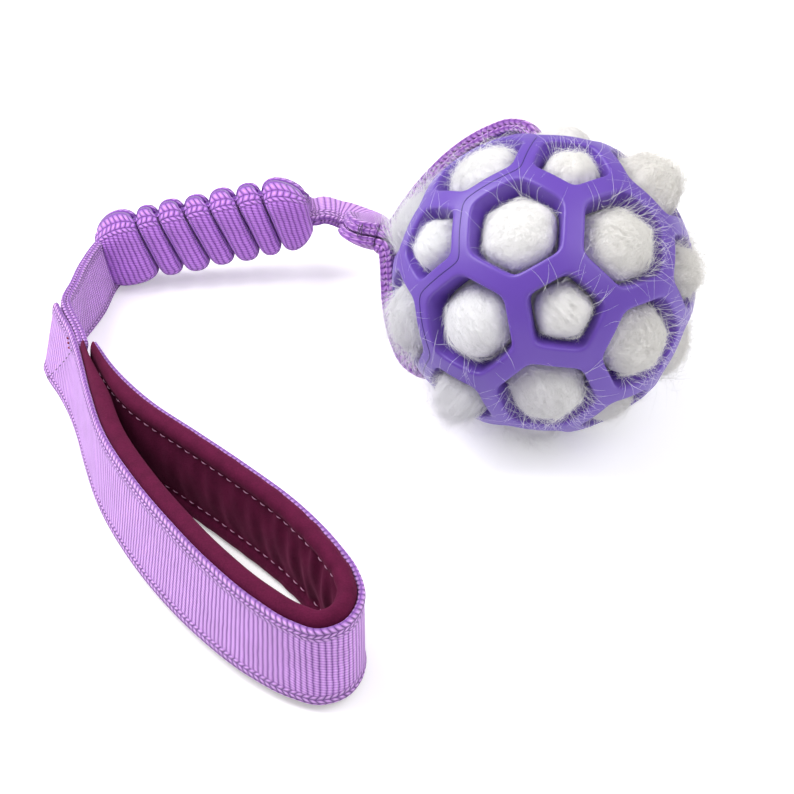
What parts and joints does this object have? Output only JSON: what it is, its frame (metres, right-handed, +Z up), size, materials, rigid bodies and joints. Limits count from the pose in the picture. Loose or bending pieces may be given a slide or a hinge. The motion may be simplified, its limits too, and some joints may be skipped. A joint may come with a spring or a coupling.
{
  "type": "lattice ball dog toy",
  "caption": "Fur-stuffed rubber lattice ball on a gathered bungee tug strap with a padded loop handle, for throwing and tug play.",
  "frame": {"origin": "middle of the footprint, on the floor that the toy lies on", "axes": "+Z up from the floor; +X to the right in the picture, from the handle towards the ball; +Y away from the camera, from the handle's nose towards the bungee"},
  "size_m": [0.1992, 0.2222, 0.0886],
  "materials": {
    "purple_rubber": "satin",
    "fur": "matte",
    "fur_hide": "matte",
    "lilac_webbing": "matte",
    "burgundy_lining": "matte",
    "elastic": "matte",
    "foam": "matte",
    "pink_thread": "matte",
    "dark_thread": "matte",
    "red_thread": "matte"
  },
  "bodies": {
    "handle": {"handle_webbing": "lilac_webbing", "handle_lining": "burgundy_lining", "handle_foam": "foam", "upper_stitch_row": "pink_thread", "lower_stitch_row": "pink_thread", "box_stitch": "dark_thread", "red_tack": "red_thread"},
    "bungee_tail": {"sleeve_front": "lilac_webbing", "sleeve_back": "lilac_webbing", "bungee_seam_left": "dark_thread", "tail_strap_outer": "lilac_webbing", "tail_strap_inner": "lilac_webbing"},
    "bungee_head": {"elastic_core": "elastic"},
    "neck": {"neck_strap": "lilac_webbing", "neck_strap_end": "lilac_webbing", "neck_bar_tack": "dark_thread", "bungee_seam_right": "dark_thread", "ball_strap": "lilac_webbing"},
    "ball": {"lattice_ball": "purple_rubber", "fur_pile": "fur", "fur_backing": "fur_hide"}
  },
  "joints": [
    {"name": "handle_fold", "type": "hinge", "parent": "handle", "child": "bungee_tail", "pos_m": [-0.09386, 0.04149, 0.01376], "axis": [0, 0, 1], "range_deg": [-10, 90], "deforming": ["tail_strap_outer", "tail_strap_inner"]},
    {"name": "bungee_stretch", "type": "slide", "parent": "bungee_tail", "child": "bungee_head", "axis": [0.9903, 0.1392, 0], "range_m": [0, 0.06], "stiffness_N_per_m": 600, "deforming": ["sleeve_front", "sleeve_back", "elastic_core"]},
    {"name": "neck_fold", "type": "hinge", "parent": "bungee_head", "child": "neck", "pos_m": [-0.01323, 0.10311, 0.02345], "axis": [0, 0, 1], "range_deg": [-18, 45], "deforming": ["neck_strap"]},
    {"name": "ball_rock", "type": "hinge", "parent": "neck", "child": "ball", "pos_m": [0.05511, 0.0196, 0.04432], "axis": [-0.387, -0.7005, 0.5996], "range_deg": [-15, 15], "deforming": ["ball_strap"]}
  ]
}
